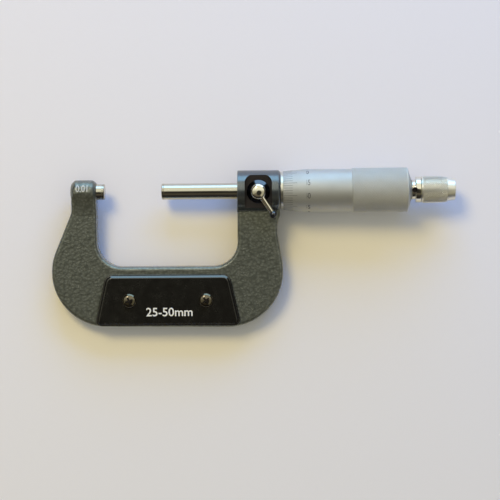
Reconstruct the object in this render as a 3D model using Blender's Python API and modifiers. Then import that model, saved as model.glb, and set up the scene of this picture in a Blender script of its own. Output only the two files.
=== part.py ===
"""Outside micrometer for 25 to 50 mm, lying on its back.

X runs along the spindle, from the anvil to the ratchet. Y points out of the frame's mouth, and Z out of its
front. The origin is the middle of the anvil's measuring face. Lengths are in metres.
"""

import math

import bmesh
import bpy
from mathutils import Vector

mm = 0.001

# Clearances
seat_gap = 0.1 * mm  # between pieces that are pressed, screwed or laid together
running_gap = 0.2 * mm  # between pieces that turn or slide in each other

# Measuring line
measuring_diameter = 6.35 * mm  # of anvil and spindle
tip_thickness = 0.9 * mm  # carbide faces
tip_chamfer = 0.2 * mm
gap_at_rest = 22.9 * mm  # between the measuring faces, as the micrometer lies
opening_travel = 27.1 * mm  # from there to the full 50 mm
closing_travel = 0.8 * mm  # from there to the thimble's stop at the hub
anvil_reach = 3.0 * mm  # measuring face to the frame's boss
anvil_depth = 8.0 * mm  # in the boss

# Frame
frame_thickness = 7.0 * mm
frame_edge_radius = 1.3 * mm
arm_width = 10.2 * mm
boss_radius = 4.85 * mm  # round boss that holds the anvil
boss_corner = 1.6 * mm
corner_share = 0.3  # of a corner, left by its first chamfer
boss_proud = 0.15 * mm  # machined ends stand out of the painted web
throat_width = 56.25 * mm
throat_depth = 30.0 * mm  # below the measuring line
throat_corner = 10.0 * mm
back_depth = 53.7 * mm  # measuring line to the frame's outer edge, on the anvil's side
back_drop = 1.0 * mm  # the outer edge runs this much lower on the hub's side
shoulder_depth = 8.2 * mm  # where the anvil's arm starts to widen
shoulder_corner = 7.0 * mm
flare_angle = math.radians(23.0)
back_corner_left = 21.9 * mm
back_corner_right = 22.5 * mm
waist_inset = 1.25 * mm  # the hub's arm is narrower than the hub
waist_low = 17.0 * mm
waist_high = 13.2 * mm
waist_root = 9.6 * mm
waist_corner = 4.0 * mm
waist_lean = math.radians(9.5)

# Hub
hub_radius = 8.25 * mm
hub_length = 17.1 * mm
hub_set_back = 0.15 * mm  # its front face behind the throat's edge
hub_chamfer = 0.7 * mm
hub_front_edge = 0.15 * mm

# Spindle lock
lock_along = 8.35 * mm  # hub's front face to the lock's axis
pocket_width = 10.8 * mm
pocket_height = 6.6 * mm  # its upper edge above the measuring line
pocket_corner = 3.1 * mm
pocket_floor = 5.0 * mm  # height of its floor in front of the measuring line
lock_screw_radius = 1.5 * mm
lock_stud_radius = 1.1 * mm
lever_base_radius = 4.6 * mm
lever_base_height = 0.8 * mm
lever_cone_height = 1.0 * mm
lever_dome_radius = 3.1 * mm
lever_drum_height = 1.3 * mm
lever_dome_height = 1.0 * mm
lever_arm_radius = 1.2 * mm
lever_arm_reach = 12.3 * mm
lever_ball_radius = 1.5 * mm
lever_angle = math.radians(-57.0)
shoe_thickness = 0.8 * mm

# Sleeves
sleeve_shown = 1.15 * mm  # hub to the thimble's edge at rest
scale_sleeve_radius = 7.3 * mm
scale_sleeve_wall = 1.0 * mm
sleeve_cover = 5.3 * mm  # stays inside the thimble when it is fully open
inner_shank_wall = 0.75 * mm
inner_shank_length = 5.9 * mm
guide_length = 5.6 * mm  # of the guide bore outside the hub
relief_radius = 4.4 * mm
nut_thread_length = 16.6 * mm
nut_seat_radius = 5.5 * mm
adjusting_nut_length = 4.0 * mm
adjusting_nut_wall = 1.2 * mm
split_width = 0.7 * mm
split_length = 10.0 * mm
spanner_hole_radius = 0.6 * mm
spanner_hole_along = 5.0 * mm  # from the hub

# Spindle
thread_radius = 3.05 * mm
thread_relief = 0.6 * mm
taper_start_radius = 2.9 * mm
taper_end_radius = 2.4 * mm
spindle_bore_radius = 1.5 * mm
spindle_bore_depth = 8.0 * mm

# Thimble
thimble_edge_radius = 7.75 * mm
thimble_bevel = 8.2 * mm
thimble_radius = 8.5 * mm
thimble_end_wall = 12.6 * mm
grip_radius = 8.9 * mm
grip_length = 22.3 * mm
grip_chamfer = 0.3 * mm
thimble_tail = 1.5 * mm  # steep cone behind the grip

# Ratchet stop
neck_radius = 3.95 * mm
neck_length = 1.5 * mm
flange_radius = 5.2 * mm
flange_length = 2.15 * mm
knob_radius = 5.3 * mm
knob_lip = 0.5 * mm  # smooth edge before the knurl
knob_grip_length = 10.4 * mm
knob_nose_length = 3.05 * mm
knob_nose_radius = 4.2 * mm
knob_wall = 1.0 * mm
knob_web = 3.4 * mm  # carries the knob on the stem
knurl_depth = 0.22 * mm
knurl_around = 52
journal_radius = 2.2 * mm
ring_seat_radius = 3.0 * mm  # carries the toothed ring
teeth = 20
tooth_height = 0.4 * mm
tooth_root = 1.0 * mm
pawl_length = 2.4 * mm
spring_wire = 0.22 * mm
spring_turns = 4
end_screw_radius = 2.8 * mm
end_screw_head = 1.5 * mm
end_screw_edge = 0.6 * mm
end_screw_shank = 0.8 * mm
end_screw_length = 5.0 * mm
stem_bore_radius = 0.95 * mm
stem_hole_radius = 1.0 * mm  # hole for a spanner, at the corner of neck and flange

# Front plate
plate_top = 33.1 * mm  # below the measuring line
plate_height = 20.4 * mm
plate_width = 49.6 * mm  # along its upper edge
plate_slope = math.radians(12.7)
plate_thickness = 1.5 * mm
plate_bevel = 1.1 * mm
plate_corner_top = 2.6 * mm
plate_corner_bottom = 2.2 * mm
screw_spacing = 30.7 * mm
screw_below_top = 10.2 * mm
screw_head_radius = 2.9 * mm
screw_head_height = 1.4 * mm
screw_shank_radius = 1.4 * mm
screw_length = 5.5 * mm
cross_width = 0.8 * mm
cross_length = 3.2 * mm
cross_depth = 0.8 * mm

fine = 44  # facets round the large turned pieces
small = 28
tiny = 20

# Places along the measuring line
measuring_radius = measuring_diameter / 2
boss_face = -anvil_reach
arm_inner = boss_face - boss_proud
arm_outer = arm_inner - arm_width
throat_end = arm_inner + throat_width
hub_face = throat_end + hub_set_back
hub_end = hub_face + hub_length
lock_x = hub_face + lock_along
throat_middle = arm_inner + throat_width / 2
thimble_front = hub_end + sleeve_shown
scale_sleeve_end = thimble_front + opening_travel + sleeve_cover
nut_start = scale_sleeve_end + seat_gap
nut_end = nut_start + adjusting_nut_length
inner_sleeve_end = nut_end + 2 * seat_gap
nut_thread_start = inner_sleeve_end - nut_thread_length
thread_start = nut_thread_start - opening_travel - running_gap
thimble_cavity_end = inner_sleeve_end + closing_travel + 5 * running_gap
thimble_end = thimble_cavity_end + thimble_end_wall
grip_end = thimble_end - thimble_tail
grip_start = grip_end - grip_length
spindle_end = thimble_end - thimble_tail - running_gap
neck_start = thimble_end + seat_gap
flange_start = neck_start + neck_length
flange_end = flange_start + flange_length
knob_start = flange_end + running_gap
knob_grip_end = knob_start + knob_grip_length
knob_end = knob_grip_end + knob_nose_length
tooth_face = flange_end + seat_gap + tooth_root
pawl_start = tooth_face + tooth_height + running_gap
pawl_end = pawl_start + pawl_length
stem_end = knob_grip_end - seat_gap
knob_cavity_end = stem_end - knob_web

# Radii that follow from their neighbours
spindle_bore = measuring_radius + running_gap
inner_shank_radius = spindle_bore + inner_shank_wall
hub_bore_radius = inner_shank_radius + seat_gap
inner_sleeve_radius = scale_sleeve_radius - scale_sleeve_wall - seat_gap
thimble_bore = scale_sleeve_radius + running_gap
nut_bore = thread_radius + running_gap
adjusting_nut_bore = nut_seat_radius + seat_gap
knob_cavity_radius = knob_radius - knurl_depth - knob_wall
pawl_radius = knob_cavity_radius - running_gap
frame_front = frame_thickness / 2
plate_back = frame_front + seat_gap
plate_front = plate_back + plate_thickness
lever_bottom = pocket_floor + running_gap
lock_axis = Vector((lock_x, 0, 0))


def clear_scene():
    for old in list(bpy.data.objects):
        bpy.data.objects.remove(old, do_unlink=True)


def new_collection(name):
    made = bpy.data.collections.new(name)
    bpy.context.scene.collection.children.link(made)
    return made


def material(name, colour, roughness, metallic):
    made = bpy.data.materials.new(name)
    made.use_nodes = True
    shader = made.node_tree.nodes["Principled BSDF"]
    shader.inputs["Base Color"].default_value = (*colour, 1)
    shader.inputs["Roughness"].default_value = roughness
    shader.inputs["Metallic"].default_value = metallic
    made.diffuse_color = (*colour, 1)
    return made


def add_object(name, mesh, look=None):
    """A part when it has a look, and otherwise a helper that only Booleans use."""
    item = bpy.data.objects.new(name, mesh)
    if look is None:
        helpers.objects.link(item)
        item.hide_render = True
        item.display_type = "WIRE"
        return item
    parts.objects.link(item)
    mesh.materials.clear()
    mesh.materials.append(look)
    return item


def shade_round(mesh):
    mesh.shade_smooth()
    mesh.set_sharp_from_angle(angle=math.radians(30))


def from_bmesh(name, shape, look=None):
    mesh = bpy.data.meshes.new(name)
    shape.to_mesh(mesh)
    shape.free()
    return add_object(name, mesh, look)


def turned(name, path, look=None, segments=fine, ring=False):
    """Turn (along, radius) points about the object's Z axis. The path runs down its outer side."""
    shape = bmesh.new()
    corners = [shape.verts.new((radius, 0, along)) for along, radius in path]
    for first, second in zip(corners, corners[1:]):
        shape.edges.new((first, second))
    if ring:
        shape.edges.new((corners[-1], corners[0]))
    item = from_bmesh(name, shape, look)
    screw = item.modifiers.new("turn", "SCREW")
    screw.axis = "Z"
    screw.steps = segments
    screw.render_steps = segments
    screw.use_merge_vertices = True
    screw.merge_threshold = 0.001 * mm
    screw.use_smooth_shade = True
    return item


def along_x(item):
    item.rotation_euler = (0, math.pi / 2, 0)
    return item


def solid_bar(name, outer, look=None, segments=fine):
    """A turned bar along X from (x, radius) points, listed from left to right."""
    path = [(outer[-1][0], 0), *reversed(outer), (outer[0][0], 0)]
    return along_x(turned(name, path, look, segments))


def tube(name, outer, inner, look=None, segments=fine):
    """A turned tube along X. Outer and inner (x, radius) points are listed from left to right."""
    return along_x(turned(name, [*reversed(outer), *inner], look, segments, ring=True))


def dome(base, height, radius, steps):
    """The (along, radius) points of a domed head, from near its top down to its rim."""
    angles = [math.pi / 2 * (1 - step / steps) for step in range(1, steps + 1)]
    return [(base + height * math.sin(angle), radius * math.cos(angle)) for angle in angles]


def rod(name, start, end, start_radius, end_radius=None, segments=tiny, look=None):
    """A cylinder or cone from one point to another."""
    start, end = Vector(start), Vector(end)
    shape = bmesh.new()
    bmesh.ops.create_cone(
        shape,
        cap_ends=True,
        segments=segments,
        radius1=start_radius,
        radius2=start_radius if end_radius is None else end_radius,
        depth=(end - start).length,
    )
    item = from_bmesh(name, shape, look)
    item.location = (start + end) / 2
    item.rotation_euler = (end - start).to_track_quat("Z", "Y").to_euler()
    return item


def box(name, low, high):
    shape = bmesh.new()
    bmesh.ops.create_cube(shape, size=1)
    low, high = Vector(low), Vector(high)
    bmesh.ops.scale(shape, vec=high - low, verts=shape.verts)
    item = from_bmesh(name, shape)
    item.location = (low + high) / 2
    return item


def boolean(item, other, operation="DIFFERENCE"):
    modifier = item.modifiers.new(other.name, "BOOLEAN")
    modifier.operation = operation
    modifier.object = other


def join(item, other):
    boolean(item, other, "UNION")


def made_real(item, look=None):
    """The object's evaluated mesh as a plain object, in the same place."""
    bpy.context.view_layer.update()
    graph = bpy.context.evaluated_depsgraph_get()
    mesh = bpy.data.meshes.new_from_object(item.evaluated_get(graph))
    name, place = item.name, item.matrix_world.copy()
    bpy.data.objects.remove(item, do_unlink=True)
    real = add_object(name, mesh, look)
    real.matrix_world = place
    return real


def rounded(corners, step=math.radians(9)):
    """Outline points from (x, y, radius) corners, each corner an arc."""
    outline = []
    count = len(corners)
    for number, (x, y, radius) in enumerate(corners):
        here = Vector((x, y))
        before = Vector(corners[number - 1][:2]) - here
        after = Vector(corners[(number + 1) % count][:2]) - here
        turn = math.pi - before.angle(after)
        if radius == 0 or turn < 1e-6:
            outline.append(here)
            continue
        reach = radius * math.tan(turn / 2)
        start = here + before.normalized() * reach
        end = here + after.normalized() * reach
        middle = here + (before.normalized() + after.normalized()).normalized() * (
            radius / math.cos(turn / 2)
        )
        first, last = start - middle, end - middle
        sweep = first.angle_signed(last)
        steps = max(2, round(abs(sweep) / step))
        for part in range(steps + 1):
            angle = -sweep * part / steps
            outline.append(
                middle
                + Vector((
                    first.x * math.cos(angle) - first.y * math.sin(angle),
                    first.x * math.sin(angle) + first.y * math.cos(angle),
                ))
            )
    return outline


def flat_solid(name, outline, low, high, look=None):
    """A flat outline in the XY plane, extruded from one height to the other, with whole caps."""
    data = bpy.data.curves.new(name, "CURVE")
    data.dimensions = "2D"
    data.fill_mode = "BOTH"
    data.extrude = (high - low) / 2
    spline = data.splines.new("POLY")
    spline.points.add(len(outline) - 1)
    spline.use_cyclic_u = True
    for point, corner in zip(spline.points, outline):
        point.co = (corner[0], corner[1], 0, 1)
    item = bpy.data.objects.new(name, data)
    helpers.objects.link(item)
    item.location.z = (low + high) / 2
    real = made_real(item, look)
    shape = bmesh.new()
    shape.from_mesh(real.data)
    bmesh.ops.remove_doubles(shape, verts=shape.verts, dist=0.001 * mm)
    bmesh.ops.dissolve_limit(shape, angle_limit=0.001, verts=shape.verts, edges=shape.edges)
    bmesh.ops.recalc_face_normals(shape, faces=shape.faces)
    shape.to_mesh(real.data)
    shape.free()
    return real


def round_rims(item, width, steps, rims=("low", "high")):
    """Bevel the rims of a flat solid, at its lowest height, its highest or both."""
    shape = bmesh.new()
    shape.from_mesh(item.data)
    heights = {
        "low": min(v.co.z for v in shape.verts),
        "high": max(v.co.z for v in shape.verts),
    }
    wanted = [heights[rim] for rim in rims]
    edges = [
        edge
        for edge in shape.edges
        if any(all(abs(v.co.z - height) < 0.001 * mm for v in edge.verts) for height in wanted)
    ]
    bmesh.ops.bevel(
        shape, geom=edges, offset=width, segments=steps, profile=0.5, affect="EDGES", clamp_overlap=True
    )
    shape.to_mesh(item.data)
    shape.free()


def frame_outline():
    """The C of the frame, anticlockwise from the end of the anvil's arm."""
    web_left = arm_outer
    web_right = hub_end - boss_proud
    inside_boss = boss_radius / 3
    inside_hub = -hub_radius / 2
    waist = hub_end - waist_inset
    low_left = -back_depth
    low_right = -back_depth - back_drop
    flare_x = web_left - (back_depth - shoulder_depth) * math.tan(flare_angle)
    lean_x = waist + (back_depth + back_drop - waist_low) * math.tan(waist_lean)
    return rounded([
        (web_left, inside_boss, 0),
        (web_left, -shoulder_depth, shoulder_corner),
        (flare_x, low_left, back_corner_left),
        (lean_x, low_right, back_corner_right),
        (waist, -waist_low, waist_corner),
        (waist, -waist_high, waist_corner / 4),
        (web_right, -waist_root, 0),
        (web_right, inside_hub, 0),
        (throat_end, inside_hub, 0),
        (throat_end, -throat_depth, throat_corner),
        (arm_inner, -throat_depth, throat_corner),
        (arm_inner, inside_boss, 0),
    ])


def make_frame():
    frame = flat_solid("frame", frame_outline(), -frame_front, frame_front, looks["hammered paint"])
    round_rims(frame, frame_edge_radius, 3)
    hub = solid_bar("hub_blank", [
        (hub_face, hub_radius - hub_front_edge),
        (hub_face + hub_front_edge, hub_radius),
        (hub_end - hub_chamfer, hub_radius),
        (hub_end, hub_radius - hub_chamfer),
    ])
    boss = solid_bar("boss_blank", [
        (arm_outer - boss_proud, boss_radius - boss_corner),
        (arm_outer - boss_proud + boss_corner * corner_share, boss_radius - boss_corner * corner_share),
        (arm_outer - boss_proud + boss_corner, boss_radius),
        (boss_face - boss_corner, boss_radius),
        (boss_face - boss_corner * corner_share, boss_radius - boss_corner * corner_share),
        (boss_face, boss_radius - boss_corner),
    ])
    join(frame, hub)
    join(frame, boss)
    over = hub_radius  # cutters run this far past the metal
    step = hub_end - inner_shank_length - seat_gap
    boolean(frame, solid_bar("hub_bore", [
        (hub_face - over, spindle_bore),
        (step, spindle_bore),
        (step, hub_bore_radius),
        (hub_end + over, hub_bore_radius),
    ]))
    anvil_bore = measuring_radius + seat_gap
    boolean(frame, solid_bar("anvil_bore", [
        (boss_face - anvil_depth - seat_gap, anvil_bore),
        (boss_face + over, anvil_bore),
    ]))
    half = pocket_width / 2
    pocket = rounded([
        (lock_x - half, -hub_radius - over, 0),
        (lock_x + half, -hub_radius - over, 0),
        (lock_x + half, pocket_height, pocket_corner),
        (lock_x - half, pocket_height, pocket_corner),
    ])
    boolean(frame, flat_solid("pocket", pocket, pocket_floor, hub_radius + over))
    lock_hole = lock_screw_radius + running_gap
    boolean(frame, rod("lock_hole", lock_axis, lock_axis + Vector((0, 0, hub_radius)), lock_hole))
    for x in screw_places():
        y = -plate_top - screw_below_top
        deepest = plate_front - screw_length - seat_gap
        hole = screw_shank_radius + seat_gap
        boolean(frame, rod("tapped_hole", (x, y, deepest), (x, y, frame_front + over), hole))
    return frame


def screw_places():
    return [throat_middle - screw_spacing / 2, throat_middle + screw_spacing / 2]


def make_anvil():
    start = boss_face - anvil_depth
    end = -tip_thickness - seat_gap
    solid_bar("anvil", [
        (start, measuring_radius - 2 * tip_chamfer),
        (start + 2 * tip_chamfer, measuring_radius),
        (end, measuring_radius),
    ], looks["ground steel"], small)
    solid_bar("anvil_tip", [
        (-tip_thickness, measuring_radius),
        (-tip_chamfer, measuring_radius),
        (0, measuring_radius - tip_chamfer),
    ], looks["carbide"], small)


def make_spindle():
    start = gap_at_rest
    solid_bar("spindle_tip", [
        (start, measuring_radius - tip_chamfer),
        (start + tip_chamfer, measuring_radius),
        (start + tip_thickness, measuring_radius),
    ], looks["carbide"], small)
    shaft = start + tip_thickness + seat_gap
    taper_start = thimble_cavity_end + running_gap
    bore_start = spindle_end - spindle_bore_depth
    relief = thread_radius - thread_relief
    outer = [
        (shaft, measuring_radius),
        (thread_start - 2 * thread_relief, measuring_radius),
        (thread_start - thread_relief, relief),
        (thread_start, relief),
        (thread_start + thread_relief, thread_radius),
        (taper_start - 2 * thread_relief, thread_radius),
        (taper_start - thread_relief, taper_start_radius),
        (taper_start, taper_start_radius),
        (spindle_end, taper_end_radius),
    ]
    path = [
        (bore_start, 0),
        (bore_start, spindle_bore_radius),
        (spindle_end, spindle_bore_radius),
        *reversed(outer),
        (shaft, 0),
    ]
    along_x(turned("spindle", path, looks["ground steel"], small))


def make_sleeves():
    inner = tube("inner_sleeve", [
        (hub_end - inner_shank_length, inner_shank_radius),
        (hub_end + seat_gap, inner_shank_radius),
        (hub_end + seat_gap, inner_sleeve_radius),
        (scale_sleeve_end, inner_sleeve_radius),
        (scale_sleeve_end, nut_seat_radius),
        (inner_sleeve_end, nut_seat_radius),
    ], [
        (hub_end - inner_shank_length, spindle_bore),
        (hub_end + guide_length, spindle_bore),
        (hub_end + guide_length, relief_radius),
        (nut_thread_start, relief_radius),
        (nut_thread_start, nut_bore),
        (inner_sleeve_end, nut_bore),
    ], looks["dark steel"])
    for number in range(3):
        angle = math.radians(90 + 120 * number)
        out = Vector((0, math.cos(angle), math.sin(angle)))
        blade = box(
            f"split_{number + 1}",
            (inner_sleeve_end - split_length, -split_width / 2, nut_bore * 0.5),
            (inner_sleeve_end + split_width, split_width / 2, inner_sleeve_radius + split_width),
        )
        height = blade.location.z
        blade.location = Vector((blade.location.x, 0, 0)) + out * height
        blade.rotation_euler.x = angle - math.pi / 2
        boolean(inner, blade)
    scale = tube("scale_sleeve", [
        (hub_end + seat_gap, scale_sleeve_radius),
        (scale_sleeve_end, scale_sleeve_radius),
    ], [
        (hub_end + seat_gap, scale_sleeve_radius - scale_sleeve_wall),
        (scale_sleeve_end, scale_sleeve_radius - scale_sleeve_wall),
    ], looks["satin chrome"])
    hole_x = hub_end + spanner_hole_along
    inside = (scale_sleeve_radius - scale_sleeve_wall) / 2
    outside = 2 * scale_sleeve_radius
    boolean(scale, rod("spanner_hole", (hole_x, 0, -inside), (hole_x, 0, -outside), spanner_hole_radius))
    tube("adjusting_nut", [
        (nut_start, adjusting_nut_bore + adjusting_nut_wall),
        (nut_end - adjusting_nut_wall / 2, adjusting_nut_bore + adjusting_nut_wall),
        (nut_end, adjusting_nut_bore + adjusting_nut_wall / 2),
    ], [
        (nut_start, adjusting_nut_bore),
        (nut_end, adjusting_nut_bore),
    ], looks["dark steel"], small)


def make_thimble():
    taper_start = thimble_cavity_end + running_gap
    tube("thimble", [
        (thimble_front, thimble_edge_radius),
        (thimble_front + thimble_bevel, thimble_radius),
        (grip_start, thimble_radius),
        (grip_start + grip_chamfer, grip_radius),
        (grip_end - grip_chamfer, grip_radius),
        (grip_end, grip_radius - grip_chamfer),
        (thimble_end, neck_radius),
    ], [
        (thimble_front, thimble_bore),
        (thimble_cavity_end, thimble_bore),
        (thimble_cavity_end, taper_start_radius + running_gap),
        (taper_start, taper_start_radius + running_gap),
        (spindle_end, taper_end_radius + running_gap),
        (spindle_end + running_gap, taper_end_radius + running_gap),
        (spindle_end + running_gap, spindle_bore_radius + seat_gap),
        (thimble_end, spindle_bore_radius + seat_gap),
    ], looks["satin chrome"])


def tooth_profile(column, columns):
    """Height of the ratchet teeth at one of the columns round the axis: two steps up, then a drop."""
    steps = columns // teeth
    return tooth_height * (column % steps) / (steps - 1)


def cut_teeth(item, height, columns, look):
    """Turn the flat ring of points at this height into ratchet teeth."""
    real = made_real(item, look)
    for vertex in real.data.vertices:
        if abs(vertex.co.z - height) < 0.001 * mm:
            column = round(math.atan2(vertex.co.y, vertex.co.x) * columns / (2 * math.pi)) % columns
            vertex.co.z += tooth_profile(column, columns)
    return real


def make_ratchet():
    stud_start = spindle_end - spindle_bore_depth + 2 * seat_gap
    stud_radius = spindle_bore_radius - running_gap
    outer = [
        (stud_start, stud_radius),
        (neck_start, stud_radius),
        (neck_start, neck_radius),
        (flange_start, neck_radius),
        (flange_start, flange_radius - grip_chamfer),
        (flange_start + grip_chamfer, flange_radius),
        (flange_end, flange_radius),
        (flange_end, ring_seat_radius),
        (tooth_face, ring_seat_radius),
        (tooth_face, journal_radius),
        (stem_end, journal_radius),
    ]
    bore_start = stem_end - end_screw_length - seat_gap
    path = [
        (bore_start, 0),
        (bore_start, stem_bore_radius),
        (stem_end, stem_bore_radius),
        *reversed(outer),
        (stud_start, 0),
    ]
    stem = along_x(turned("ratchet_stem", path, looks["polished chrome"], small))
    hole_x = flange_start - stem_hole_radius / 3
    deepest = (hole_x, 0, neck_radius / 2)
    boolean(stem, rod("stem_hole", deepest, (hole_x, 0, 2 * flange_radius), stem_hole_radius))

    columns = 3 * teeth
    ring = tube("ratchet_ring", [
        (flange_end + seat_gap, pawl_radius),
        (tooth_face, pawl_radius),
    ], [
        (flange_end + seat_gap, ring_seat_radius + seat_gap),
        (tooth_face, ring_seat_radius + seat_gap),
    ], looks["dark steel"], columns)
    cut_teeth(ring, tooth_face, columns, looks["dark steel"])

    pawl = tube("ratchet_pawl", [
        (pawl_start, pawl_radius),
        (pawl_end, pawl_radius),
    ], [
        (pawl_start, journal_radius + running_gap),
        (pawl_end, journal_radius + running_gap),
    ], looks["dark steel"], columns)
    cut_teeth(pawl, pawl_start, columns, looks["dark steel"])

    make_spring()
    make_knob()
    head_start = stem_end + 2 * seat_gap
    solid_bar("ratchet_end_screw", [
        (stem_end - end_screw_length, end_screw_shank),
        (head_start, end_screw_shank),
        (head_start, end_screw_radius),
        (head_start + end_screw_head - end_screw_edge, end_screw_radius),
        (head_start + end_screw_head, end_screw_radius - end_screw_edge),
    ], looks["polished chrome"], small)


def make_spring():
    """Coil between the pawl and the knob's web."""
    start = pawl_end + spring_wire + seat_gap
    end = knob_cavity_end - spring_wire - seat_gap
    middle = (journal_radius + running_gap + pawl_radius) / 2
    data = bpy.data.curves.new("ratchet_spring", "CURVE")
    data.dimensions = "3D"
    data.bevel_depth = spring_wire
    data.bevel_resolution = 1
    data.use_fill_caps = True
    per_turn = 14
    count = spring_turns * per_turn
    spline = data.splines.new("POLY")
    spline.points.add(count)
    for number, point in enumerate(spline.points):
        angle = 2 * math.pi * number / per_turn
        x = start + (end - start) * number / count
        point.co = (x, middle * math.cos(angle), middle * math.sin(angle), 1)
    item = bpy.data.objects.new("ratchet_spring", data)
    parts.objects.link(item)
    data.materials.append(looks["spring steel"])


def knurled_blank(name, radius, depth, start, end, around):
    """A cylinder along X whose surface is a net of small pyramids."""
    length = end - start
    rows = 2 * round(length * around / (4 * math.pi * radius))
    shape = bmesh.new()
    bmesh.ops.create_cone(
        shape, cap_ends=True, segments=around, radius1=radius, radius2=radius, depth=length
    )
    sides = [e for e in shape.edges if abs(e.verts[0].co.z - e.verts[1].co.z) > length / 2]
    bmesh.ops.subdivide_edges(shape, edges=sides, cuts=rows - 1)
    low = set()
    for vertex in shape.verts:
        row = round((vertex.co.z / length + 0.5) * rows)
        column = round(math.atan2(vertex.co.y, vertex.co.x) * around / (2 * math.pi))
        if row in (0, rows) or (row + column) % 2:
            low.add(vertex)
            vertex.co.x *= 1 - depth / radius
            vertex.co.y *= 1 - depth / radius
    for face in [f for f in shape.faces if len(f.verts) == 4]:
        corners = list(face.verts)
        first = 0 if corners[0] in low and corners[2] in low else 1
        bmesh.utils.face_split(face, corners[first], corners[first + 2])
    item = from_bmesh(name, shape)
    item.location.x = (start + end) / 2
    return along_x(item)


def make_knob():
    core = knob_radius - knurl_depth
    knob = solid_bar("ratchet_knob", [
        (knob_start, core - grip_chamfer),
        (knob_start + grip_chamfer, core),
        (knob_start + knob_lip, core),
        (knob_start + knob_lip, core - knurl_depth / 2),
        (knob_grip_end - grip_chamfer, core - knurl_depth / 2),
        (knob_grip_end - grip_chamfer, core),
        (knob_grip_end, core),
        (knob_end, knob_nose_radius),
    ], looks["satin chrome"], small)
    join(knob, knurled_blank(
        "knob_knurl",
        knob_radius,
        knurl_depth,
        knob_start + knob_lip,
        knob_grip_end - grip_chamfer / 2,
        knurl_around,
    ))
    past = knob_wall
    boolean(knob, solid_bar("knob_bore", [
        (knob_start - past, knob_cavity_radius),
        (knob_cavity_end, knob_cavity_radius),
        (knob_cavity_end, journal_radius + running_gap),
        (stem_end + seat_gap, journal_radius + running_gap),
        (stem_end + seat_gap, end_screw_radius + running_gap),
        (knob_end + past, end_screw_radius + running_gap),
    ], segments=small))


def make_lock():
    stud_top = lever_bottom + lever_base_height + lever_cone_height
    hole_top = stud_top + seat_gap
    drum_base = lever_bottom + lever_base_height + lever_cone_height
    dome_base = drum_base + lever_drum_height
    path = [
        (dome_base + lever_dome_height, 0),
        *dome(dome_base, lever_dome_height, lever_dome_radius, 5),
        (drum_base, lever_dome_radius),
        (lever_bottom + lever_base_height, lever_base_radius),
        (lever_bottom, lever_base_radius),
        (lever_bottom, lock_stud_radius + seat_gap),
        (hole_top, lock_stud_radius + seat_gap),
        (hole_top, 0),
    ]
    lever = turned("lock_lever", path, looks["polished chrome"], small)
    lever.location = lock_axis
    height = Vector((0, 0, drum_base + lever_arm_radius / 4))
    out = Vector((math.cos(lever_angle), math.sin(lever_angle), 0))
    root = lock_axis + height + out * (lever_dome_radius / 2)
    tip = lock_axis + height + out * (lever_arm_reach - lever_ball_radius)
    join(lever, rod("lever_arm", root, tip, lever_arm_radius))
    shape = bmesh.new()
    bmesh.ops.create_uvsphere(shape, u_segments=tiny, v_segments=tiny // 2, radius=lever_ball_radius)
    ball = from_bmesh("lever_ball", shape)
    ball.location = tip
    join(lever, ball)

    shoe_bottom = measuring_radius + running_gap
    screw_bottom = shoe_bottom + shoe_thickness + seat_gap
    screw = turned("lock_screw", [
        (stud_top, 0),
        (stud_top, lock_stud_radius),
        (pocket_floor + running_gap / 2, lock_stud_radius),
        (pocket_floor + running_gap / 2, lock_screw_radius),
        (screw_bottom, lock_screw_radius),
        (screw_bottom, 0),
    ], looks["dark steel"], tiny)
    screw.location = lock_axis
    shoe = turned("clamp_shoe", [
        (shoe_bottom + shoe_thickness, 0),
        (shoe_bottom + shoe_thickness, lock_screw_radius),
        (measuring_radius / 2, lock_screw_radius),
        (measuring_radius / 2, 0),
    ], looks["brass"], tiny)
    shoe.location = lock_axis
    boolean(shoe, rod(
        "shoe_hollow",
        lock_axis - Vector((hub_radius, 0, 0)),
        lock_axis + Vector((hub_radius, 0, 0)),
        shoe_bottom,
        segments=fine,
    ))


def make_plate():
    half_top = plate_width / 2
    half_bottom = half_top + plate_height * math.tan(plate_slope)
    low = -plate_top - plate_height
    outline = rounded([
        (throat_middle - half_top, -plate_top, plate_corner_top),
        (throat_middle - half_bottom, low, plate_corner_bottom),
        (throat_middle + half_bottom, low, plate_corner_bottom),
        (throat_middle + half_top, -plate_top, plate_corner_top),
    ], step=math.radians(18))
    plate = flat_solid("front_plate", outline, plate_back, plate_front, looks["black enamel"])
    round_rims(plate, plate_bevel, 1, ["high"])
    for x in screw_places():
        y = -plate_top - screw_below_top
        over = plate_thickness
        hole = screw_shank_radius + seat_gap
        boolean(plate, rod("plate_hole", (x, y, plate_back - over), (x, y, plate_front + over), hole))


def make_plate_screws():
    head_base = plate_front + seat_gap
    head = dome(head_base, screw_head_height, screw_head_radius, 4)
    for name, x in zip(("plate_screw_left", "plate_screw_right"), screw_places()):
        screw = turned(name, [
            (head_base + screw_head_height, 0),
            *head,
            (head_base, screw_shank_radius),
            (plate_front - screw_length, screw_shank_radius),
            (plate_front - screw_length, 0),
        ], looks["polished chrome"], tiny)
        place = Vector((x, -plate_top - screw_below_top, 0))
        screw.location = place
        top = head_base + screw_head_height
        for across, along in ((cross_length, cross_width), (cross_width, cross_length)):
            low = place + Vector((-across / 2, -along / 2, top - cross_depth))
            high = place + Vector((across / 2, along / 2, top + cross_depth))
            boolean(screw, box("cross_recess", low, high))


def finish_shading():
    for item in parts.objects:
        if item.type == "MESH":
            shade_round(item.data)


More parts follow.
